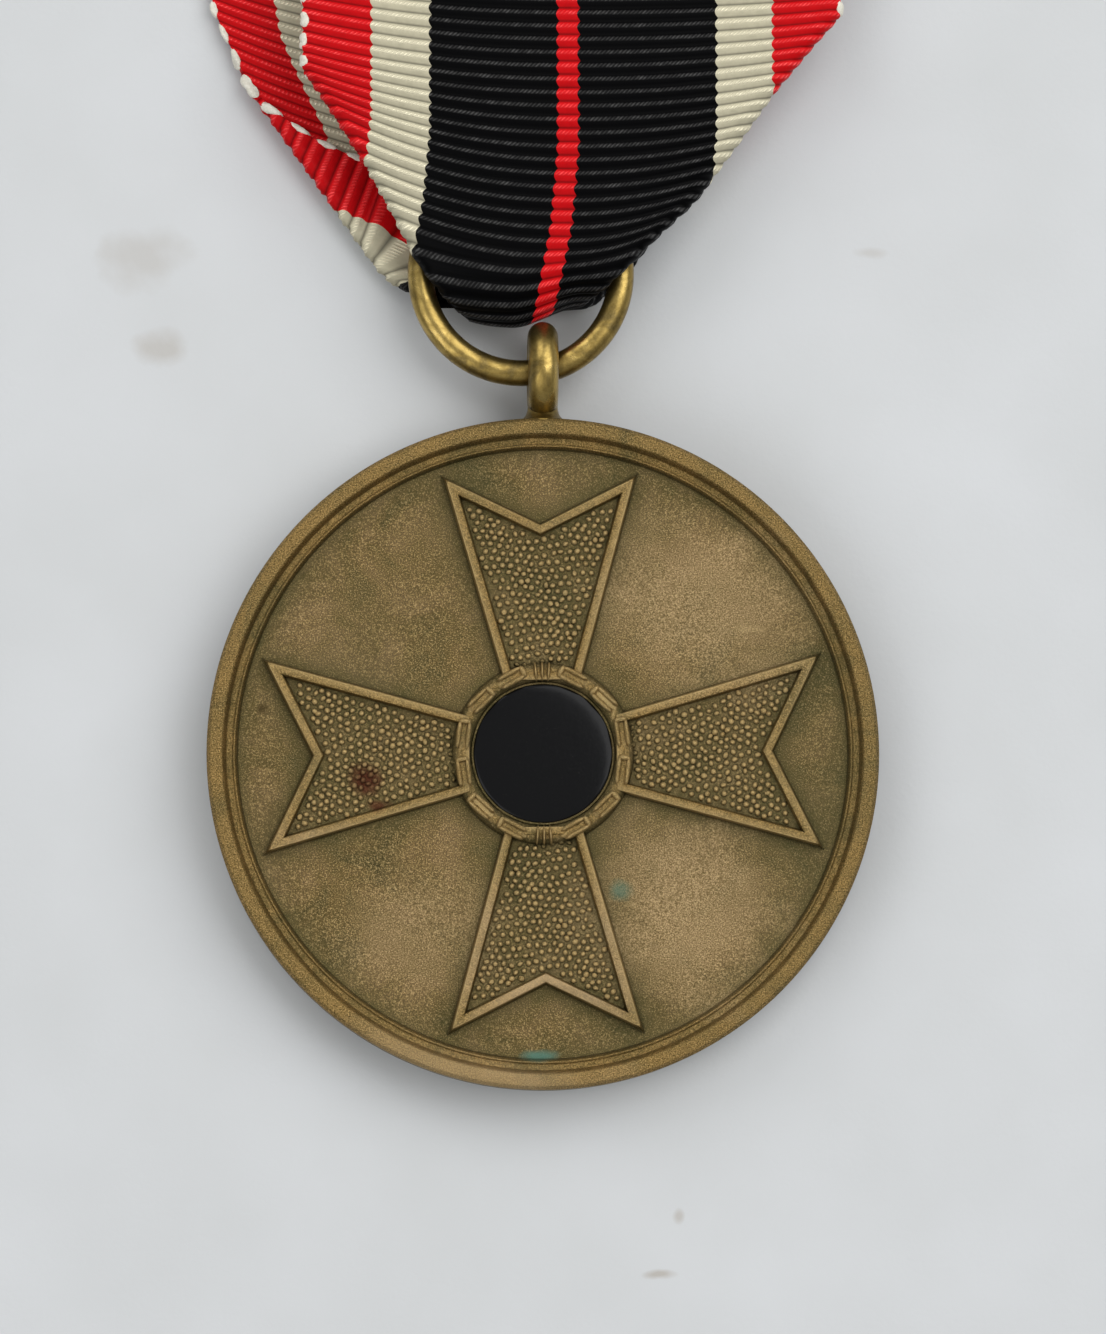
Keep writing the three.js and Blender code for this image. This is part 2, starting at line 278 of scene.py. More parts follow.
def turned(profile, steps):
    """A profile of (radius, height) in millimetres, turned once round Z."""
    bm = bmesh.new()
    points = [bm.verts.new((r * mm, 0, z * mm)) for r, z in profile]
    edges = [bm.edges.new(pair) for pair in zip(points, points[1:])]
    bmesh.ops.spin(
        bm,
        geom=points + edges,
        cent=(0, 0, 0),
        axis=(0, 0, 1),
        angle=2 * math.pi,
        steps=steps,
        use_merge=True,
    )
    bmesh.ops.remove_doubles(bm, verts=bm.verts, dist=weld)
    bmesh.ops.recalc_face_normals(bm, faces=bm.faces)
    return bm


def soften(bm, width, least_angle=0.3, segments=2):
    """Rounds every edge that is sharper than an angle."""
    sharp = [e for e in bm.edges if len(e.link_faces) == 2 and e.calc_face_angle() > least_angle]
    bmesh.ops.bevel(
        bm,
        geom=sharp,
        offset=width,
        segments=segments,
        profile=0.5,
        affect="EDGES",
        material=-1,
        clamp_overlap=True,
    )


disc_radius = disc_high.x / mm
rim_top = disc_high.z / mm
rim_bottom = disc_low.z / mm
field = 1.6  # height of the front field; the back field is at 0

# Struck bronze: copper with tin and zinc, sand-blasted dies give a fine grain with painted sparkle,
# brown oxide fills the low places and skin has rubbed the high ones back to metal.
bronze = new_material("struck_bronze")
bronze_place = add(bronze, "TexCoord").outputs["Object"]
grain = add(
    bronze,
    "TexNoise",
    {"Scale": 1 / (0.062 * mm), "Detail": 3, "Roughness": 0.7},
    {"Vector": bronze_place},
).outputs["Fac"]
mottle = add(
    bronze,
    "TexNoise",
    {"Scale": 1 / (2.6 * mm), "Detail": 6, "Roughness": 0.65, "Distortion": 0.6},
    {"Vector": bronze_place},
).outputs["Fac"]
bloom = add(
    bronze,
    "TexNoise",
    {"Scale": 1 / (9 * mm), "Detail": 2},
    {"Vector": bronze_place},
).outputs["Fac"]
# The grain's brightest flecks are painted sparkle, a highlight painted into the colour.
grain_and_sparkle_tone = add(
    bronze,
    "ValToRGB",
    {"stops": [(0.36, "#211c0d"), (0.47, "#5a4b2a"), (0.55, "#7f693c"), (0.63, "#dfc086")]},
    {"Fac": grain},
).outputs["Color"]
mottle_tone = add(
    bronze,
    "ValToRGB",
    {"stops": [(0.34, "#4e4a2e"), (0.46, "#6e5d38"), (0.56, "#806a47"), (0.7, "#947a58")]},
    {"Fac": mottle},
).outputs["Color"]
bronze_colour = mix(bronze, 0.5, mottle_tone, grain_and_sparkle_tone)
bloom_amount = add(
    bronze,
    "MapRange",
    {"From Min": 0.45, "From Max": 0.75, "To Max": 0.35},
    {"Value": bloom},
).outputs["Result"]
bronze_colour = mix(bronze, bloom_amount, bronze_colour, "#565236")
# Olive tarnish spreads out from the foot of the relief, and brown oxide fills the corners that no
# finger reaches.
for reach, least, most, amount, colour in (
    (1.8, 0.86, 0.995, 0.55, "#4d4a2d"),
    (0.32, 0.3, 0.82, 0.72, "#1f1a0b"),
):
    shelter = add(
        bronze,
        "AmbientOcclusion",
        {"samples": 8, "Distance": reach * mm},
    ).outputs["AO"]
    oxide_amount = add(
        bronze,
        "MapRange",
        {"From Min": least, "From Max": most, "To Min": amount, "To Max": 0.0},
        {"Value": shelter},
    ).outputs["Result"]
    bronze_colour = mix(bronze, oxide_amount, bronze_colour, colour)
# Bright metal where the relief and the rims stand highest, broken up by the grain. The wreath is
# taller than the cross, so it's rubbed from a greater height up.
height = add(bronze, "SeparateXYZ", links={"Vector": bronze_place}).outputs["Z"]
from_middle = add(bronze, "VectorMath", {"operation": "LENGTH"}, {0: bronze_place}).outputs["Value"]
lowered = add(
    bronze,
    "MapRange",
    {"From Min": 4.35 * mm, "From Max": 4.65 * mm, "To Min": 0.2 * mm, "To Max": 0.0},
    {"Value": from_middle},
).outputs["Result"]
height = add(bronze, "Math", {"operation": "SUBTRACT"}, {0: height, 1: lowered}).outputs[0]
high_front = add(
    bronze,
    "MapRange",
    {"From Min": (field + 0.28) * mm, "From Max": (field + 0.44) * mm},
    {"Value": height},
).outputs["Result"]
high_back = add(
    bronze,
    "MapRange",
    {"From Min": -0.15 * mm, "From Max": (rim_bottom + 0.02) * mm},
    {"Value": height},
).outputs["Result"]
high_bumps = add(
    bronze,
    "MapRange",
    {"From Min": (field + 0.12) * mm, "From Max": (field + 0.18) * mm, "To Max": 0.9},
    {"Value": height},
).outputs["Result"]
high = add(bronze, "Math", {"operation": "MAXIMUM"}, {0: high_front, 1: high_back}).outputs[0]
high = add(bronze, "Math", {"operation": "MAXIMUM"}, {0: high, 1: high_bumps}).outputs[0]
rub = add(
    bronze,
    "MapRange",
    {"From Min": 0.3, "From Max": 0.6, "To Min": 0.15, "To Max": 0.85},
    {"Value": mottle},
).outputs["Result"]
rub_amount = add(bronze, "Math", {"operation": "MULTIPLY"}, {0: high, 1: rub}).outputs[0]
rub_grain = add(
    bronze,
    "MapRange",
    {"From Min": 0.38, "From Max": 0.62},
    {"Value": grain},
).outputs["Result"]
bronze_colour = mix(bronze, rub_amount, bronze_colour, mix(bronze, rub_grain, "#55451f", "#ad8d55"))
# The sharp tops and edges of the small relief are painted brightest, partly as rubbed metal and partly
# as painted highlight.
sharp = add(bronze, "NewGeometry").outputs["Pointiness"]
sharp_rub_and_highlight = add(
    bronze,
    "MapRange",
    {"From Min": 0.515, "From Max": 0.565, "To Max": 0.6},
    {"Value": sharp},
).outputs["Result"]
inside_rim = add(
    bronze,
    "MapRange",
    {"From Min": 12.9 * mm, "From Max": 13.1 * mm, "To Min": 1.0, "To Max": 0.0},
    {"Value": from_middle},
).outputs["Result"]
for part in (high, inside_rim):
    sharp_rub_and_highlight = add(bronze, "Math", {"operation": "MULTIPLY"}, {0: sharp_rub_and_highlight, 1: part}).outputs[0]
bronze_colour = mix(bronze, sharp_rub_and_highlight, bronze_colour, "#cdb27c")

# Verdigris has bloomed in two low places, and two red-brown copper spots are on the left arm.
# Three broad parts of the field are lighter, and painted highlights lie on the high edges of two arms
# and the lower rim.
# The lighter colour of three broad parts of the field.
lighter_field = mix(bronze, rub_grain, "#75603a", "#c6ab80")
for centre, size, colour, strength in (
    ((3.45, -6.1, field + 0.1), (0.7, 0.6, 1.4), "#3f6656", 0.95),
    ((-0.1, -13.5, field + 0.2), (1.0, 0.34, 1.4), "#55796a", 0.9),
    ((-7.95, -1.2, field + 0.2), (0.9, 0.8, 1.4), "#4d1c12", 0.8),
    ((-7.35, -2.35, field + 0.2), (0.7, 0.35, 1.4), "#4d1c12", 0.7),
    ((-12.5, 2.0, field), (0.35, 0.3, 1.0), "#41351c", 0.7),
    ((4.9, -8.6, field), (0.3, 0.25, 1.0), "#5a5034", 0.6),
    ((9.2, 5.6, field), (0.8, 0.25, 1.0), "#b9a373", 0.35),
    ((7.0, 6.6, field), (5.5, 5.0, 9.0), lighter_field, 0.55),
    ((6.4, -7.2, field), (5.0, 5.0, 9.0), lighter_field, 0.65),
    ((-5.5, -8.0, field), (4.5, 4.0, 9.0), lighter_field, 0.35),
    # Painted highlights on the high edges of the lower and left arms and on the lower rim.
    ((0.0, -9.5, field + 0.55), (5.5, 5.5, 0.3), "#bfa581", 0.6),
    ((-10.2, -4.6, field + 0.55), (3.5, 2.2, 0.3), "#bfa581", 0.4),
    ((-4.0, -14.4, rim_top), (9.5, 2.6, 0.6), "#b89f77", 0.4),
):
    mask = stain(bronze, bronze_place, centre, size, 0.5 + size[0] / 3)
    amount = add(bronze, "Math", {"operation": "MULTIPLY", 1: strength}, {0: mask}).outputs[0]
    bronze_colour = mix(bronze, amount, bronze_colour, colour)

bronze_gloss = add(
    bronze,
    "MapRange",
    {"From Min": 0.35, "From Max": 0.65, "To Min": 0.52, "To Max": 0.34},
    {"Value": grain},
).outputs["Result"]
bronze_relief = add(
    bronze,
    "Bump",
    {"Strength": 1.0, "Distance": 0.05 * mm},
    {"Height": grain},
).outputs["Normal"]
bronze_dents = add(
    bronze,
    "Bump",
    {"Strength": 0.6, "Distance": 0.1 * mm},
    {"Height": mottle, "Normal": bronze_relief},
).outputs["Normal"]
close_material(
    bronze,
    {"Metallic": 0.88},
    {"Base Color": bronze_colour, "Roughness": bronze_gloss, "Normal": bronze_dents},
)

# The blank: from the back field's middle round the edge to the front field's middle. A hairline
# stands at the foot of each rim, and the front field dips a little towards it.
bm = turned(
    [
        (0, 0),
        (9, 0),
        (13.5, 0),
        (13.56, -0.07),
        (13.66, -0.07),
        (13.72, 0),
        (14.0, 0),
        (14.12, rim_bottom + 0.08),
        (14.2, rim_bottom),
        (disc_radius - 0.16, rim_bottom),
        (disc_radius, rim_bottom + 0.16),
        (disc_radius, rim_top - 0.16),
        (disc_radius - 0.16, rim_top),
        (14.33, rim_top),
        (14.24, rim_top - 0.1),
        (14.12, field + 0.3),
        (13.86, field + 0.26),
        (13.82, field + 0.33),
        (13.74, field + 0.33),
        (13.6, field - 0.04),
        (13.2, field - 0.09),
        (11, field - 0.05),
        (7, field),
        (0, field + 0.02),
    ],
    240,
)
soften(bm, 0.035 * mm, segments=3)
blank = made("medal_blank", bm, bronze)
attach(blank, "medal")
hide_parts("medal_disc")


# ---------------------------------------------------------------- cross
# The cross has four forked arms. Each is a flat border, struck with sloping sides, round a sunk
# panel that the die cutter has pecked all over into small rounded bumps.
arm_tip = (4.42, 12.53)
arm_notch = 10.36
arm_root = (1.77, 3.15)
cross_turn = math.radians(0.7)  # the die was set a little askew
cross_root = 0.14  # how deep the cross starts below the field, so that no gap shows
border_width = 0.6


def crosswise(bm):
    """Makes one arm's mesh into four, and turns them with the die."""
    whole = bm.verts[:] + bm.edges[:] + bm.faces[:]
    bmesh.ops.spin(
        bm,
        geom=whole,
        cent=(0, 0, 0),
        axis=(0, 0, 1),
        angle=1.5 * math.pi,
        steps=3,
        use_duplicate=True,
    )
    bmesh.ops.rotate(bm, verts=bm.verts, cent=(0, 0, 0), matrix=Matrix.Rotation(cross_turn, 3, "Z"))


bm = bmesh.new()
arm = [
    bm.verts.new((x * mm, y * mm, (field - cross_root) * mm))
    for x, y in (
        (-arm_root[0], arm_root[1]),
        (arm_root[0], arm_root[1]),
        arm_tip,
        (0, arm_notch),
        (-arm_tip[0], arm_tip[1]),
    )
]
face = bm.faces.new(arm)
face.normal_update()
# Each step goes in from the edge by the first size and up by the second.
for inwards, rise in (
    (0.01, 0.13),
    (0.035, 0.035),
    (0.03, 0.08),
    (0.035, 0.19),
    (0.02, 0.08),
    (0.025, 0.035),
    (0.03, 0.01),
    (0.25, 0.0),
    (0.03, -0.01),
    (0.025, -0.035),
    (0.02, -0.07),
    (0.03, -0.14),
    (0.03, -0.05),
    (0.03, -0.015),
):
    bmesh.ops.inset_region(
        bm,
        faces=[face],
        thickness=inwards * mm,
        depth=rise * mm,
        use_even_offset=True,
        use_boundary=True,
    )
crosswise(bm)
cross = made("cross_borders", bm, bronze)
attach(cross, "medal")

# The pecked bumps, in staggered rows that wander as hand work does.
panel_floor = field + 0.1
wreath_foot = 4.12
pebble_pitch = 0.37
pebble_row_pitch = 0.87 * pebble_pitch
pebble_rows = 26
pebbles_each_side = 12
wander = 0.055
to_border = border_width + 0.1
side_slope = (arm_tip[0] - arm_root[0]) / (arm_tip[1] - arm_root[1])
fork_slope = (arm_tip[1] - arm_notch) / arm_tip[0]
side_inset = to_border * math.hypot(1, side_slope)
fork_inset = to_border * math.hypot(1, fork_slope)
chance = random.Random(7)
bm = bmesh.new()
for row in range(pebble_rows):
    for column in range(-pebbles_each_side, pebbles_each_side + 1):
        x = (column + 0.5 * (row % 2)) * pebble_pitch + chance.uniform(-wander, wander)
        y = wreath_foot + row * pebble_row_pitch + chance.uniform(-wander, wander)
        y += 0.13 * math.sin(1.5 * x + 0.35 * row)
        half_width = arm_root[0] + (y - arm_root[1]) * side_slope - side_inset
        fork = arm_notch + abs(x) * fork_slope - fork_inset
        if abs(x) > half_width or y > fork:
            continue
        length = chance.uniform(0.13, 0.175) * mm
        across = chance.uniform(0.115, 0.15) * mm
        lean = Matrix.Rotation(chance.uniform(0, math.pi), 4, "Z")
        place = Matrix.Translation((x * mm, y * mm, panel_floor * mm))
        shape = Matrix.Diagonal((length, across, chance.uniform(0.11, 0.14) * mm, 1))
        bmesh.ops.create_uvsphere(
            bm, u_segments=8, v_segments=6, radius=1, matrix=place @ lean @ shape
        )
crosswise(bm)
pebbles = made("pecked_panels", bm, bronze)
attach(pebbles, "medal")


# ---------------------------------------------------------------- wreath
# A half-round wreath rings the centre. Six leaves lie nose to tail on each side, and a binding of
# three bars holds them at the top and the bottom.
wreath_radius = 3.64
wreath_half_width = 0.45
wreath_rise = 0.85  # height of the plain band over its half width
leaves_per_side = 6
leaf_twist = math.radians(6)  # each leaf leans in or out by turns
binding_half_angle = math.radians(9)
bar_pitch = 0.29


def lump(bm, matrix, length, width, rise, segments=14, rings=10):
    """A rounded lump, in millimetres."""
    shape = Matrix.Diagonal((width * mm, length * mm, rise * mm, 1))
    bmesh.ops.create_uvsphere(
        bm, u_segments=segments, v_segments=rings, radius=1, matrix=matrix @ shape
    )


def wire_loop(bm, radius, wire, matrix, steps=48, sides=16, sweep=2 * math.pi, squeeze=1.0):
    """A round wire bent into a loop round its own Z, in millimetres, with square cut ends if open."""
    whole = sweep > 2 * math.pi - 1e-6
    upright = Matrix.Translation((radius * mm, 0, 0)) @ Matrix.Rotation(math.pi / 2, 4, "X")
    start = bmesh.ops.create_circle(
        bm, cap_ends=not whole, segments=sides, radius=wire * mm, matrix=upright
    )["verts"]
    edges = list({e for v in start for e in v.link_edges})
    faces = list({f for v in start for f in v.link_faces})
    before = set(bm.verts) - set(start)
    bmesh.ops.spin(
        bm,
        geom=start + edges + faces,
        cent=(0, 0, 0),
        axis=(0, 0, 1),
        angle=sweep,
        steps=steps,
        use_merge=whole,
        use_normal_flip=False,
    )
    new = [v for v in bm.verts if v not in before]
    bmesh.ops.remove_doubles(bm, verts=new, dist=weld)
    new = [v for v in bm.verts if v not in before]
    bmesh.ops.recalc_face_normals(bm, faces=list({f for v in new for f in v.link_faces}))
    flatten = Matrix.Diagonal((1, squeeze, 1, 1))
    bmesh.ops.transform(bm, matrix=matrix @ flatten, verts=new)
    return new


bm = bmesh.new()
band_verts = wire_loop(bm, wreath_radius, wreath_half_width, Matrix(), steps=120, sides=20)
bmesh.ops.transform(
    bm,
    matrix=Matrix.Translation((0, 0, field * mm)) @ Matrix.Diagonal((1, 1, wreath_rise, 1)),
    verts=band_verts,
)
leaf_angle = (math.pi - 2 * binding_half_angle) / leaves_per_side
leaf_length = leaf_angle * wreath_radius
for side in (-1, 1):
    for leaf in range(leaves_per_side):
        angle = -math.pi / 2 + side * (binding_half_angle + (leaf + 0.5) * leaf_angle)
        on_band = (
            Matrix.Rotation(angle + cross_turn, 4, "Z")
            @ Matrix.Translation((wreath_radius * mm, 0, (field + 0.2) * mm))
            @ Matrix.Rotation(leaf_twist * side * (-1) ** leaf, 4, "Z")
        )
        lump(bm, on_band, leaf_length * 0.49, 0.36, 0.3)
        # Its raised edges run along both flanks and meet round the tip.
        for flank in (-1, 1):
            ridge = Matrix.Translation((0.21 * flank * mm, 0.02 * side * mm, 0.24 * mm))
            lump(bm, on_band @ ridge, leaf_length * 0.38, 0.13, 0.17, segments=10, rings=8)
        tip = Matrix.Translation((0, side * leaf_length * 0.36 * mm, 0.22 * mm))
        lump(bm, on_band @ tip, 0.14, 0.3, 0.17, segments=10, rings=8)
for end in (0, math.pi):
    for bar in (-1, 0, 1):
        angle = end + math.pi / 2 + bar * bar_pitch / wreath_radius
        on_band = Matrix.Rotation(angle + cross_turn, 4, "Z") @ Matrix.Translation(
            (wreath_radius * mm, 0, field * mm)
        )
        lump(bm, on_band, 0.115, wreath_half_width + 0.05, 0.62)
# The thin lip that the die leaves round the centre's seat.
lip_place = Matrix.Translation((0, 0, (field + 0.1) * mm))
wire_loop(bm, 3.16, 0.07, lip_place, steps=96, sides=12)
wreath = made("wreath", bm, bronze)
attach(wreath, "medal")


# ---------------------------------------------------------------- centre
# The plain centre is a shallow dome of black vitreous enamel, fired into the seat inside the
# wreath and polished. It is a stand-in: whatever the real centre bears is left out.
centre_low, centre_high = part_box("centre_disc")
centre_radius = centre_high.x / mm
centre_bottom = centre_low.z / mm
centre_top = centre_high.z / mm

# Vitreous enamel: glass fused on metal, deep and glossy, with a faint orange peel and fine hairs
# of wear that catch the light.
enamel = new_material("black_vitreous_enamel")
enamel_place = add(enamel, "TexCoord").outputs["Object"]
peel = add(enamel, "TexNoise", {"Scale": 1 / (0.9 * mm), "Detail": 2}, {"Vector": enamel_place})
dust = add(
    enamel,
    "TexNoise",
    {"Scale": 1 / (0.09 * mm), "Detail": 3, "Roughness": 0.8},
    {"Vector": enamel_place},
)
dust_amount = add(
    enamel,
    "MapRange",
    {"From Min": 0.66, "From Max": 0.8, "To Max": 0.5},
    {"Value": dust.outputs["Fac"]},
).outputs["Result"]
enamel_gloss = add(
    enamel,
    "MapRange",
    {"From Min": 0.4, "From Max": 0.8, "To Min": 0.14, "To Max": 0.3},
    {"Value": dust.outputs["Fac"]},
).outputs["Result"]
enamel_relief = add(
    enamel,
    "Bump",
    {"Strength": 0.2, "Distance": 0.03 * mm},
    {"Height": peel.outputs["Fac"]},
).outputs["Normal"]
close_material(
    enamel,
    {"IOR": 1.52, "Specular IOR Level": 0.16},
    {
        "Base Color": mix(enamel, dust_amount, "#060607", "#3a3830"),
        "Roughness": enamel_gloss,
        "Normal": enamel_relief,
    },
)
wall_top = centre_bottom + 0.28
dome_steps = 10
dome_angles = [math.pi / 2 * step / dome_steps for step in range(dome_steps)]
dome = [
    (centre_radius * math.cos(angle), wall_top + (centre_top - wall_top) * math.sin(angle))
    for angle in dome_angles
]
bm = turned([(0, centre_bottom), (centre_radius - 0.03, centre_bottom), *dome, (0, centre_top)], 160)
soften(bm, 0.02 * mm, least_angle=0.6, segments=2)
centre = made("enamel_centre", bm, enamel)
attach(centre, "medal")
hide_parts("centre_disc")


# ---------------------------------------------------------------- eye and foot
# The eye is a loop of drawn brass wire set across the rim. It is brazed on, and the braze has run
# out into a flared foot.
eye_low, eye_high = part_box("suspension_eye")
eye_middle = (eye_low + eye_high) / 2
eye_wire = (eye_high.x - eye_low.x) / 2 / mm
eye_radius = (eye_high.y - eye_low.y) / 2 / mm - eye_wire

# Drawn brass wire: yellower and smoother than the struck bronze, polished where it rubs, with
# brown tarnish that has gathered in cloudy patches.
brass = new_material("drawn_brass_wire")
brass_place = add(brass, "TexCoord").outputs["Object"]
tarnish = add(
    brass,
    "TexNoise",
    {"Scale": 1 / (1.3 * mm), "Detail": 5, "Roughness": 0.6, "Distortion": 0.8},
    {"Vector": brass_place},
).outputs["Fac"]
speckle = add(
    brass,
    "TexNoise",
    {"Scale": 1 / (0.1 * mm), "Detail": 4, "Roughness": 0.7},
    {"Vector": brass_place},
).outputs["Fac"]
brass_tone = add(
    brass,
    "ValToRGB",
    {"stops": [(0.36, "#3f300f"), (0.48, "#7b6327"), (0.62, "#b09550"), (0.8, "#c2a768")]},
    {"Fac": tarnish},
).outputs["Color"]
brass_colour = mix(brass, 0.35, brass_tone, mix(brass, speckle, "#54431a", "#d8bf7c"))
brass_shelter = add(
    brass,
    "AmbientOcclusion",
    {"samples": 8, "Distance": 0.8 * mm},
).outputs["AO"]
brass_oxide = add(
    brass,
    "MapRange",
    {"From Min": 0.3, "From Max": 0.9, "To Min": 0.75, "To Max": 0.0},
    {"Value": brass_shelter},
).outputs["Result"]
brass_colour = mix(brass, brass_oxide, brass_colour, "#33270d")
brass_gloss = add(
    brass,
    "MapRange",
    {"From Min": 0.3, "From Max": 0.7, "To Min": 0.42, "To Max": 0.24},
    {"Value": tarnish},
).outputs["Result"]
brass_relief = add(
    brass,
    "Bump",
    {"Strength": 0.5, "Distance": 0.012 * mm},
    {"Height": speckle},
).outputs["Normal"]
brass_dents = add(
    brass,
    "Bump",
    {"Strength": 0.3, "Distance": 0.07 * mm},
    {"Height": tarnish, "Normal": brass_relief},
).outputs["Normal"]
close_material(
    brass,
    {"Metallic": 0.92},
    {"Base Color": brass_colour, "Roughness": brass_gloss, "Normal": brass_dents},
)

bm = bmesh.new()
across_rim = Matrix.Translation(eye_middle) @ Matrix.Rotation(math.pi / 2, 4, "Y")
wire_loop(bm, eye_radius, eye_wire, across_rim, steps=96, sides=40)
eye = made("wire_eye", bm, brass)
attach(eye, "medal")
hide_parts("suspension_eye")

bm = turned(
    [
        (0, -0.25),
        (1.2, -0.25),
        (1.2, -0.02),
        (1.04, 0.07),
        (0.93, 0.17),
        (0.85, 0.3),
        (0.8, 0.46),
        (0.77, 0.7),
        (0.74, 0.9),
        (0, 1.0),
    ],
    64,
)
bmesh.ops.transform(
    bm,
    matrix=Matrix.Translation((eye_middle.x, disc_high.y, eye_middle.z))
    @ Matrix.Rotation(-math.pi / 2, 4, "X")
    @ Matrix.Diagonal((0.86, 1.0, 1.0, 1)),
    verts=bm.verts,
)
soften(bm, 0.03 * mm, least_angle=0.5)
foot = made("brazed_foot", bm, brass)
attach(foot, "medal")
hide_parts("eye_foot")


# ---------------------------------------------------------------- suspension ring
# The ring is one turn of the same brass wire, bent round through the eye. Its two cut ends meet in
# a butt joint, which isn't soldered.
ring_low, ring_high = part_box("suspension_ring")
ring_middle = (ring_low + ring_high) / 2
ring_wire = (ring_high.z - ring_low.z) / 2 / mm
ring_radius = (ring_high.x - ring_low.x) / 2 / mm - ring_wire
joint_gap = 0.07 / ring_radius
joint_at = math.radians(110)

bm = bmesh.new()
wire_loop(
    bm,
    ring_radius,
    ring_wire,
    Matrix.Translation(ring_middle) @ Matrix.Rotation(joint_at + joint_gap / 2, 4, "Z"),
    steps=180,
    sides=36,
    sweep=2 * math.pi - joint_gap,
)
soften(bm, 0.05 * mm, least_angle=0.8)
ring = made("wire_ring", bm, brass)
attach(ring, "ring")
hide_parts("suspension_ring")


# ---------------------------------------------------------------- ribbon
# The ribbon is one strip of ribbed rayon, woven in seven stripes. It goes through the ring with
# its sides folded in, and its two legs lie one on the other. The strip is bent from the flat in
# two pieces that meet at the lowest point of its loop, one for each leg.
ribbon_half_width = 12.0
ribbon_thickness = 0.2
rib_pitch = 0.61
rib_height = 0.1
loop_pitch = 1.22  # two ribs to each turn of the edge thread
layer_pitch = 0.4  # from one folded layer to the next

front_low, front_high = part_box("ribbon_front_leg")
bow_z = (loop_low.z + loop_high.z) / 2 / mm
bow_y = loop_y / mm
bow_radius = (loop_high.z - loop_low.z) / 2 / mm - ribbon_thickness / 2 - rib_height
bend_y = front_low.y / mm - 0.25  # the middle of the gap between the loop and the leg
leg_end = front_high.y / mm
quarter_turn = bow_radius * math.pi / 2
strip_length = quarter_turn + leg_end - bow_y


def smooth_step(low, high, value):
    """0 below low, 1 above high, and an easy slope between."""
    t = np.clip((value - low) / (high - low), 0, 1)
    return t * t * (3 - 2 * t)


def eased(points, places):
    """A curve through a few (place, value) points, with its corners eased."""
    first, last, per_mm = 15, 62, 20  # a little past both ends of the ribbon
    ease = 10  # samples on each side of a corner, so half a millimetre
    fine = np.linspace(first, last, (last - first) * per_mm + 1)
    value = np.interp(fine, *zip(*points))
    window = np.hanning(2 * ease + 1) / np.hanning(2 * ease + 1).sum()
    padded = np.pad(value, ease, mode="edge")
    return np.interp(places, fine, np.convolve(padded, window, "valid"))


# Each leg's outline as the eye sees it, as (Y, X): its two edges, which are folds where the strip
# is tucked, and the middle of the strip. up is the side of the ring that the leg lies on.
front = {
    "up": 1,
    "neck": (21.0, 24.5),
    "skew_ends": 4.5,
    "left": [(19.7, -3.0), (20.2, -4.0), (20.7, -4.5), (21.3, -5.0), (22.4, -5.84), (25.8, -7.7),
             (28.3, -9.3), (30.4, -10.7)],
    "right": [(19.7, 1.7), (20.3, 2.6), (22.25, 4.3), (24.4, 6.4), (27.1, 8.4), (29.5, 10.1),
              (31.5, 11.7), (33.4, 13.3)],
    "middle": [(19.7, 0.1), (20.2, 0.3), (22.0, 0.7), (23.6, 1.0), (27.0, 1.3)],
    "left_lift": [(20.5, 0.0), (22.5, 1.3), (26.5, 1.9), (30.0, 1.5), (34.0, 1.0), (45.0, 0.3)],
    "right_lift": [(20.5, 0.0), (22.0, 0.7), (26.0, 0.8), (31.0, 0.7), (38.0, 0.3), (45.0, 0.0)],
}
back = {
    "up": -1,
    "neck": (19.9, 21.9),
    "skew_ends": 1.6,
    "left": [(19.7, -2.9), (20.3, -4.2), (20.9, -6.6), (28.4, -12.1), (34.0, -16.2)],
    "right": [(19.7, 1.7), (21.0, 3.0), (24.0, 5.2), (28.0, 7.6), (31.0, 8.6), (34.5, 9.15)],
    "middle": [(19.7, 0.1), (21.3, -0.4), (25.0, -0.35), (27.0, -0.75), (28.5, -1.5),
               (30.0, -2.2), (31.5, -2.8), (33.5, -3.1)],
    "left_lift": [(19.5, 0.5), (25.0, 1.5), (29.5, 2.0), (33.0, 2.2), (45.0, 1.5)],
    "right_lift": [(20.5, 0.0), (45.0, 0.0)],
}


def leg_height(leg, y):
    """Height of a leg's outer face over Y, past the loop."""
    if leg["up"] < 0:
        return bow_z - bow_radius + table_slope * np.maximum(y - bend_y, 0)
    rest = front_low.z / mm + ribbon_thickness + 2 * rib_height
    rest = rest + table_slope * (y - leg_end)
    settle = smooth_step(bend_y, bend_y + 0.75 * (leg_end - bend_y), y)
    top = bow_z + bow_radius
    return top + (rest - top) * settle


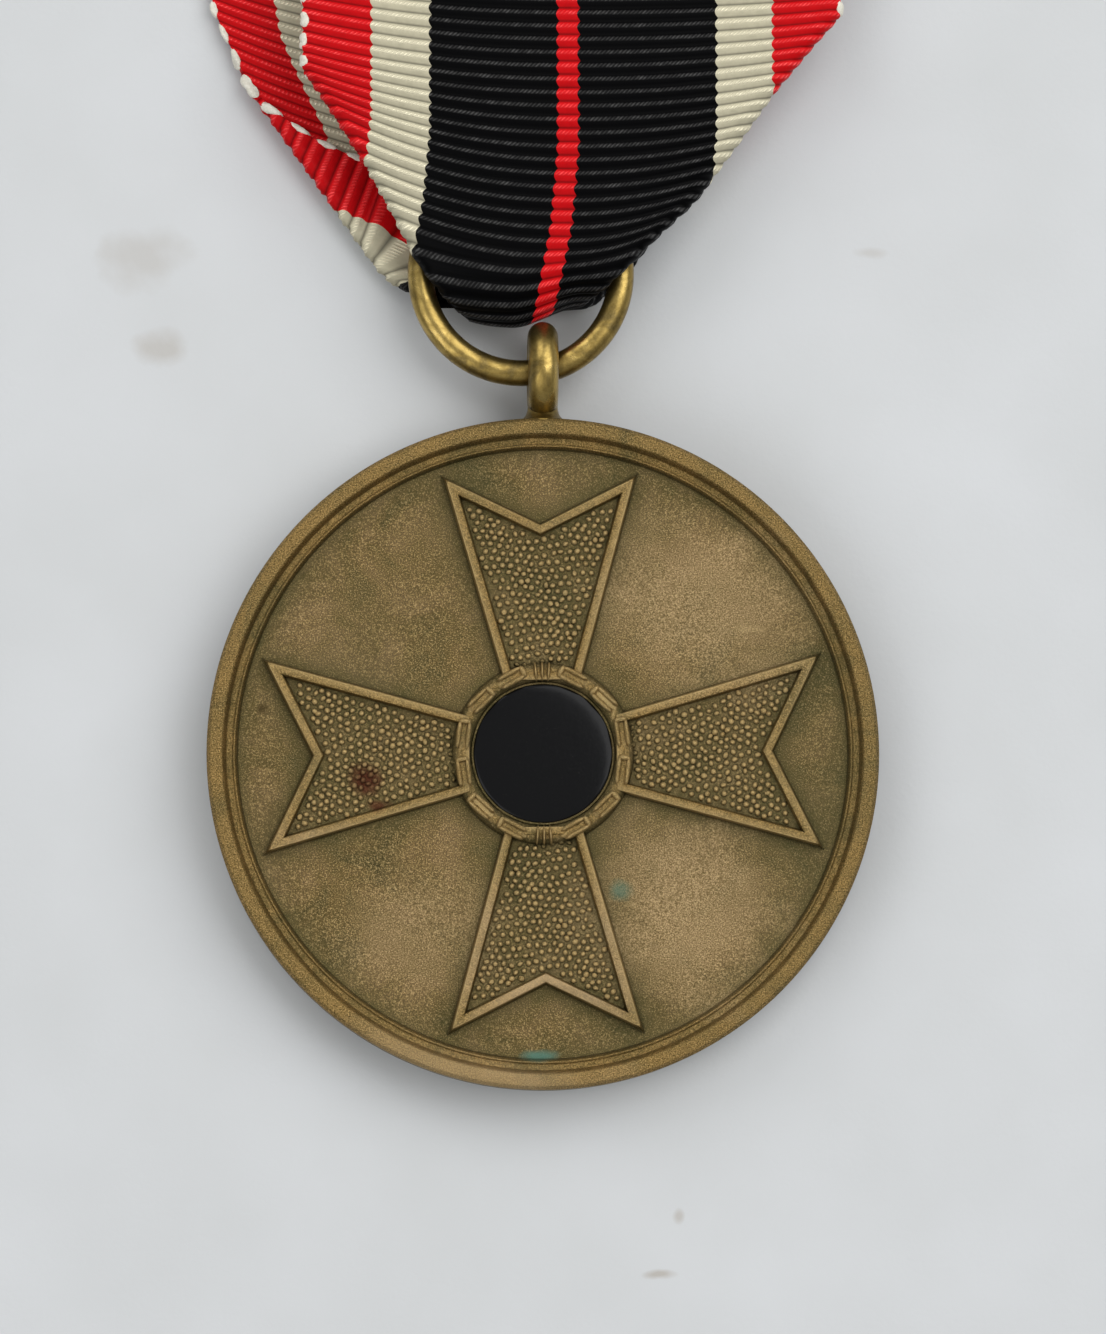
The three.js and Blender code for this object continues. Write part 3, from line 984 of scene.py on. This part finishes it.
def bent(strip, leg):
    """Folds and bends points of the flat strip, (across, along, above) in millimetres."""
    slope_reach = 0.2  # how far each way an outline's slope is measured
    fold_clearance = 0.6  # from a folded side to the far edge
    least_roll, neck_roll = 0.12, 0.26
    slack = 0.6  # how far the loop's lowest edge hangs down on its left
    across, along, above = strip.T
    y = bow_y - bow_radius * np.cos(np.minimum(along, quarter_turn) / bow_radius)
    y = y + np.maximum(along - quarter_turn, 0)
    left_lift, right_lift = eased(leg["left_lift"], y), eased(leg["right_lift"], y)
    middle = eased(leg["middle"], y)
    edges = {-1: eased(leg["left"], y + left_lift), 1: eased(leg["right"], y + right_lift)}
    x, rise, depth = across + middle, np.zeros_like(y), np.zeros_like(y)
    face_x, face_y, face_up = np.zeros_like(y), np.zeros_like(y), np.ones_like(y)
    panel_width = edges[1] - edges[-1]
    for side, layer in ((-1, 1), (1, 2)):
        radius = layer * layer_pitch / 2
        crease = edges[side] - side * radius
        beyond = side * (across - (crease - middle))
        folded = beyond > 0
        beyond = np.maximum(beyond, 0)
        # The fold slants as the outline does, but gathers straight in the neck of the loop, where
        # the folded sides are pleated so that they fit.
        name = "left" if side < 0 else "right"
        above_neck = np.maximum(y, leg["neck"][1])
        after = eased(leg[name], above_neck + slope_reach)
        before = eased(leg[name], above_neck - slope_reach)
        slant = (after - before) / (2 * slope_reach)
        slant = slant * smooth_step(*leg["neck"], y)
        norm = np.sqrt(1 + slant**2)
        round_fold = beyond / norm
        angle = np.minimum(round_fold / radius, math.pi)
        flap = np.maximum(ribbon_half_width - side * (crease - middle) - math.pi * radius, 0.1)
        room = np.clip((panel_width - 2 * radius - fold_clearance) / flap, 0.3, 1)
        room = room + (1 - room) * smooth_step(*leg["neck"], y)
        inwards = radius * np.sin(angle) - np.maximum(round_fold - math.pi * radius, 0) * room
        slide = side * slant * beyond / norm
        fold_x = crease + slide * slant / norm + side * inwards / norm
        fold_rise = slide / norm - side * slant * inwards / norm
        x = np.where(folded, fold_x, x)
        rise = np.where(folded, fold_rise, rise)
        depth = np.where(folded, radius * (1 - np.cos(angle)), depth)
        face_x = np.where(folded, side * np.sin(angle) / norm, face_x)
        face_y = np.where(folded, -side * slant * np.sin(angle) / norm, face_y)
        face_up = np.where(folded, np.cos(angle), face_up)
    x = x + above * face_x
    rise = rise + above * face_y
    depth = depth - above * face_up
    # The ribs bow upwards towards the folds, and the edges roll away from the eye.
    here = y + np.where(along > quarter_turn, rise, 0)
    middle = eased(leg["middle"], here)
    to_left = np.clip((middle - x) / (middle - eased(leg["left"], here)), 0, 1.1)
    to_right = np.clip((x - middle) / (eased(leg["right"], here) - middle), 0, 1.1)
    rise = rise + eased(leg["left_lift"], here) * to_left**2.2
    rise = rise + eased(leg["right_lift"], here) * to_right**2.2
    roll = least_roll + neck_roll * (1 - smooth_step(23, 33, here))
    # The right side is folded thicker, so it stays flat where it passes over the ring's wire.
    past_ring = smooth_step(22, 25, here)
    depth = depth + roll * np.maximum(to_left**4, past_ring * to_right**4)
    # Round the loop, then along the leg.
    travel = along + rise
    turn = np.minimum(travel, quarter_turn) / bow_radius
    ahead = np.maximum(travel - quarter_turn, 0)
    out_y = bow_y - bow_radius * np.cos(turn) + ahead
    leg_z = leg_height(leg, out_y) - (bow_z + leg["up"] * bow_radius)
    out_z = bow_z + leg["up"] * bow_radius * np.sin(turn) + np.where(ahead > 0, leg_z, 0)
    out_y = out_y + depth * np.cos(turn)
    out_z = out_z - leg["up"] * depth * np.sin(turn)
    # The loop's lowest edge is lower on the left, where the strip is slack, than on the right.
    skew = -slack + 1.75 * slack * smooth_step(-1.5, 1.8, x)
    out_y = out_y + skew * (1 - smooth_step(0, leg["skew_ends"], travel))
    return np.stack([x, out_y, out_z], axis=1)


def bend_mesh(obj, leg):
    """Bends a flat strip's mesh, and keeps each point's place in the weave as an attribute."""
    flat = np.zeros(len(obj.data.vertices) * 3)
    obj.data.vertices.foreach_get("co", flat)
    flat = flat.reshape(-1, 3) / mm
    weave = obj.data.attributes.new("weave", "FLOAT_VECTOR", "POINT")
    weave.data.foreach_set("vector", flat.ravel())
    rib = rib_height * np.abs(np.sin(math.pi * flat[:, 1] / rib_pitch)) ** 0.8
    flat[:, 2] += np.sign(flat[:, 2]) * rib * (np.abs(flat[:, 2]) < ribbon_thickness)
    obj.data.vertices.foreach_set("co", (bent(flat, leg) * mm).ravel())
    bm = bmesh.new()
    bm.from_mesh(obj.data)
    bmesh.ops.recalc_face_normals(bm, faces=bm.faces)
    bm.to_mesh(obj.data)
    bm.free()
    obj.data.polygons.foreach_set("use_smooth", [True] * len(obj.data.polygons))


# Ribbed rayon: thick weft cords wrapped by fine warp threads. Each thread shows as a slanting bead
# on the crest of a rib, with a silky sheen and a painted highlight, and painted shade darkens the
# furrows between ribs.
rayon = new_material("ribbed_rayon")
weave_place = add(rayon, "Attribute", {"attribute_name": "weave"}).outputs["Vector"]
weave_axes = add(rayon, "SeparateXYZ", links={"Vector": weave_place})
across_mm, along_mm = weave_axes.outputs["X"], weave_axes.outputs["Y"]
fuzz = add(
    rayon,
    "TexNoise",
    {"Scale": 1 / 0.35, "Detail": 3, "Roughness": 0.6},
    {"Vector": weave_place},
).outputs["Fac"]
rib_phase = add(
    rayon, "Math", {"operation": "MULTIPLY", 1: math.pi / rib_pitch}, {0: along_mm}
).outputs[0]
rib_wave = add(rayon, "Math", {"operation": "SINE"}, {0: rib_phase}).outputs[0]
crest = add(rayon, "Math", {"operation": "ABSOLUTE"}, {0: rib_wave}).outputs[0]
# Each stripe's edge wavers by part of a thread as the ribs go by.
waver = add(
    rayon, "Math", {"operation": "MULTIPLY_ADD", 1: 0.15, 2: -0.075}, {0: crest}
).outputs[0]
stripe_place = add(rayon, "Math", {"operation": "ADD"}, {0: across_mm, 1: waver}).outputs[0]
stripe_share = add(
    rayon,
    "MapRange",
    {"From Min": -ribbon_half_width, "From Max": ribbon_half_width},
    {"Value": stripe_place},
).outputs["Result"]
# Right-hand edge of each stripe, in millimetres from the strip's middle, and its colour.
stripes = (
    (-9.0, "#cf1016"),
    (-6.4, "#cac3a8"),
    (-0.68, "#040405"),
    (0.28, "#cf1016"),
    (6.4, "#040405"),
    (9.0, "#cac3a8"),
    (12.0, "#cf1016"),
)
ribbon_width = 2 * ribbon_half_width
stripe_starts = [0] + [(right + ribbon_half_width) / ribbon_width for right, _ in stripes[:-1]]
stripe_colour = add(
    rayon,
    "ValToRGB",
    {"interpolation": "CONSTANT", "stops": list(zip(stripe_starts, [c for _, c in stripes]))},
    {"Fac": stripe_share},
).outputs["Color"]
warp_pitch = 0.185
slanted = add(
    rayon, "Math", {"operation": "MULTIPLY_ADD", 1: -0.9}, {0: along_mm, 2: across_mm}
).outputs[0]
warp_phase = add(
    rayon, "Math", {"operation": "MULTIPLY", 1: 2 * math.pi / warp_pitch}, {0: slanted}
).outputs[0]
warp_wave = add(rayon, "Math", {"operation": "SINE"}, {0: warp_phase}).outputs[0]
warp_bead = add(
    rayon, "MapRange", {"From Min": -0.3, "From Max": 0.8, "To Min": 0.25}, {"Value": warp_wave}
).outputs["Result"]
# The beads lie in one thin line on each rib, a little above its crest, where they face the light; this
# line carries the painted highlight.
line_phase = add(rayon, "Math", {"operation": "SUBTRACT", 1: 0.45}, {0: rib_phase}).outputs[0]
line_wave = add(rayon, "Math", {"operation": "SINE"}, {0: line_phase}).outputs[0]
line_crest = add(rayon, "Math", {"operation": "ABSOLUTE"}, {0: line_wave}).outputs[0]
highlight_line = add(
    rayon, "MapRange", {"From Min": 0.82, "From Max": 0.98}, {"Value": line_crest}
).outputs["Result"]
bead = add(rayon, "Math", {"operation": "MULTIPLY"}, {0: warp_bead, 1: highlight_line}).outputs[0]
# Painted shade: each rib is painted a little darker on the side towards the medal, away from the light.
lean_phase = add(rayon, "Math", {"operation": "MULTIPLY", 1: 2.0}, {0: rib_phase}).outputs[0]
lean_wave = add(rayon, "Math", {"operation": "SINE"}, {0: lean_phase}).outputs[0]
rib_lean = add(rayon, "Math", {"operation": "MULTIPLY", 1: -1.0}, {0: lean_wave}).outputs[0]
# Painted shade: the furrows between the ribs are painted darker.
furrow_shade = add(
    rayon,
    "MapRange",
    {"From Min": 0.0, "From Max": 0.5, "To Min": 0.32, "To Max": 1.0},
    {"Value": crest},
).outputs["Result"]
rib_side_shade = add(
    rayon,
    "MapRange",
    {"From Min": -1.0, "From Max": 1.0, "To Min": 0.78, "To Max": 1.0},
    {"Value": rib_lean},
).outputs["Result"]
furrow_shade = add(rayon, "Math", {"operation": "MULTIPLY"}, {0: furrow_shade, 1: rib_side_shade}).outputs[0]
rib_shade_grey = add(
    rayon, "CombineColor", links={"Red": furrow_shade, "Green": furrow_shade, "Blue": furrow_shade}
).outputs["Color"]
rayon_colour = mix(rayon, 1.0, stripe_colour, rib_shade_grey, "MULTIPLY")
# The painted highlight colour on the beads: the stripe's colour brightened.
lit = add(
    rayon,
    "VectorMath",
    {"operation": "MULTIPLY_ADD", 1: (2.0, 2.0, 2.0), 2: (0.055, 0.053, 0.05)},
    {0: stripe_colour},
).outputs[0]
glints = add(
    rayon,
    "MapRange",
    {"From Min": 0.45, "From Max": 0.68, "To Min": 0.35, "To Max": 1.0},
    {"Value": fuzz},
).outputs["Result"]
bead_highlight_amount = add(rayon, "Math", {"operation": "MULTIPLY"}, {0: bead, 1: glints}).outputs[0]
rayon_colour = mix(rayon, bead_highlight_amount, rayon_colour, lit)
fuzz_amount = add(
    rayon, "MapRange", {"From Min": 0.4, "From Max": 0.75, "To Max": 0.25}, {"Value": fuzz}
).outputs["Result"]
dull_colour = mix(rayon, 1.0, rayon_colour, "#b5b5b5", "MULTIPLY")
rayon_colour = mix(rayon, fuzz_amount, rayon_colour, dull_colour)
rayon_silk = add(
    rayon, "MapRange", {"To Min": 0.04, "To Max": 0.6}, {"Value": bead_highlight_amount}
).outputs["Result"]
rayon_relief = add(
    rayon,
    "Bump",
    {"Strength": 0.9, "Distance": 0.05 * mm},
    {"Height": bead},
).outputs["Normal"]
rayon_fibres = add(
    rayon,
    "Bump",
    {"Strength": 0.25, "Distance": 0.02 * mm},
    {"Height": fuzz, "Normal": rayon_relief},
).outputs["Normal"]
close_material(
    rayon,
    {"Roughness": 0.42, "Sheen Weight": 0.015, "Sheen Roughness": 0.4},
    {"Base Color": rayon_colour, "Specular IOR Level": rayon_silk, "Normal": rayon_fibres},
)

# Cotton thread: dull ivory, of two plies twisted together.
cotton = new_material("cotton_thread")
cotton_place = add(cotton, "TexCoord").outputs["Object"]
plies = add(
    cotton,
    "TexNoise",
    {"Scale": 1 / (0.12 * mm), "Detail": 4},
    {"Vector": cotton_place},
).outputs["Fac"]
cotton_relief = add(
    cotton, "Bump", {"Strength": 0.6, "Distance": 0.04 * mm}, {"Height": plies}
).outputs["Normal"]
close_material(
    cotton,
    {"Roughness": 0.7, "Sheen Weight": 0.2},
    {"Base Color": mix(cotton, plies, "#b9b39f", "#efece0"), "Normal": cotton_relief},
)

rows_per_rib = 6
rows = round(strip_length / rib_pitch * rows_per_rib)
columns = 96
loops_chance = random.Random(11)
for name, leg, body, node, tail in (
    ("ribbon_front", front, "front_leg", "ribbon_front_leg", ("ribbon_loop",)),
    ("ribbon_back", back, "back_leg", "ribbon_back_leg", ()),
):
    bm = bmesh.new()
    bmesh.ops.create_grid(bm, x_segments=columns, y_segments=rows, size=0.5)
    flatten = Matrix.Translation((0, strip_length / 2 * mm, -ribbon_thickness / 2 * mm))
    flatten = flatten @ Matrix.Diagonal((ribbon_width * mm, strip_length * mm, 1, 1))
    bmesh.ops.transform(bm, matrix=flatten, verts=bm.verts)
    raised = bmesh.ops.extrude_face_region(bm, geom=bm.faces[:], use_keep_orig=True)["geom"]
    raised = [v for v in raised if isinstance(v, bmesh.types.BMVert)]
    bmesh.ops.translate(bm, vec=(0, 0, ribbon_thickness * mm), verts=raised)
    cloth = made(name, bm, rayon)
    bend_mesh(cloth, leg)

    # The edge thread comes out in a short loop past every second rib.
    bm = bmesh.new()
    for side in (-1, 1):
        for turn in range(int(strip_length / loop_pitch)):
            along = (turn + 0.5) * loop_pitch + loops_chance.uniform(-0.06, 0.06)
            out = side * (ribbon_half_width + loops_chance.uniform(-0.04, 0.06))
            lean = Matrix.Rotation(side * loops_chance.uniform(-0.1, 0.22), 4, "Z")
            place = Matrix.Translation((out * mm, along * mm, 0))
            lump(bm, place @ lean, loops_chance.uniform(0.46, 0.56), 0.2, 0.17, 10, 8)
    edging = made(name + "_edging", bm, cotton)
    bend_mesh(edging, leg)

    for piece in (cloth, edging):
        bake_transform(piece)
    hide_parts(node, *tail)
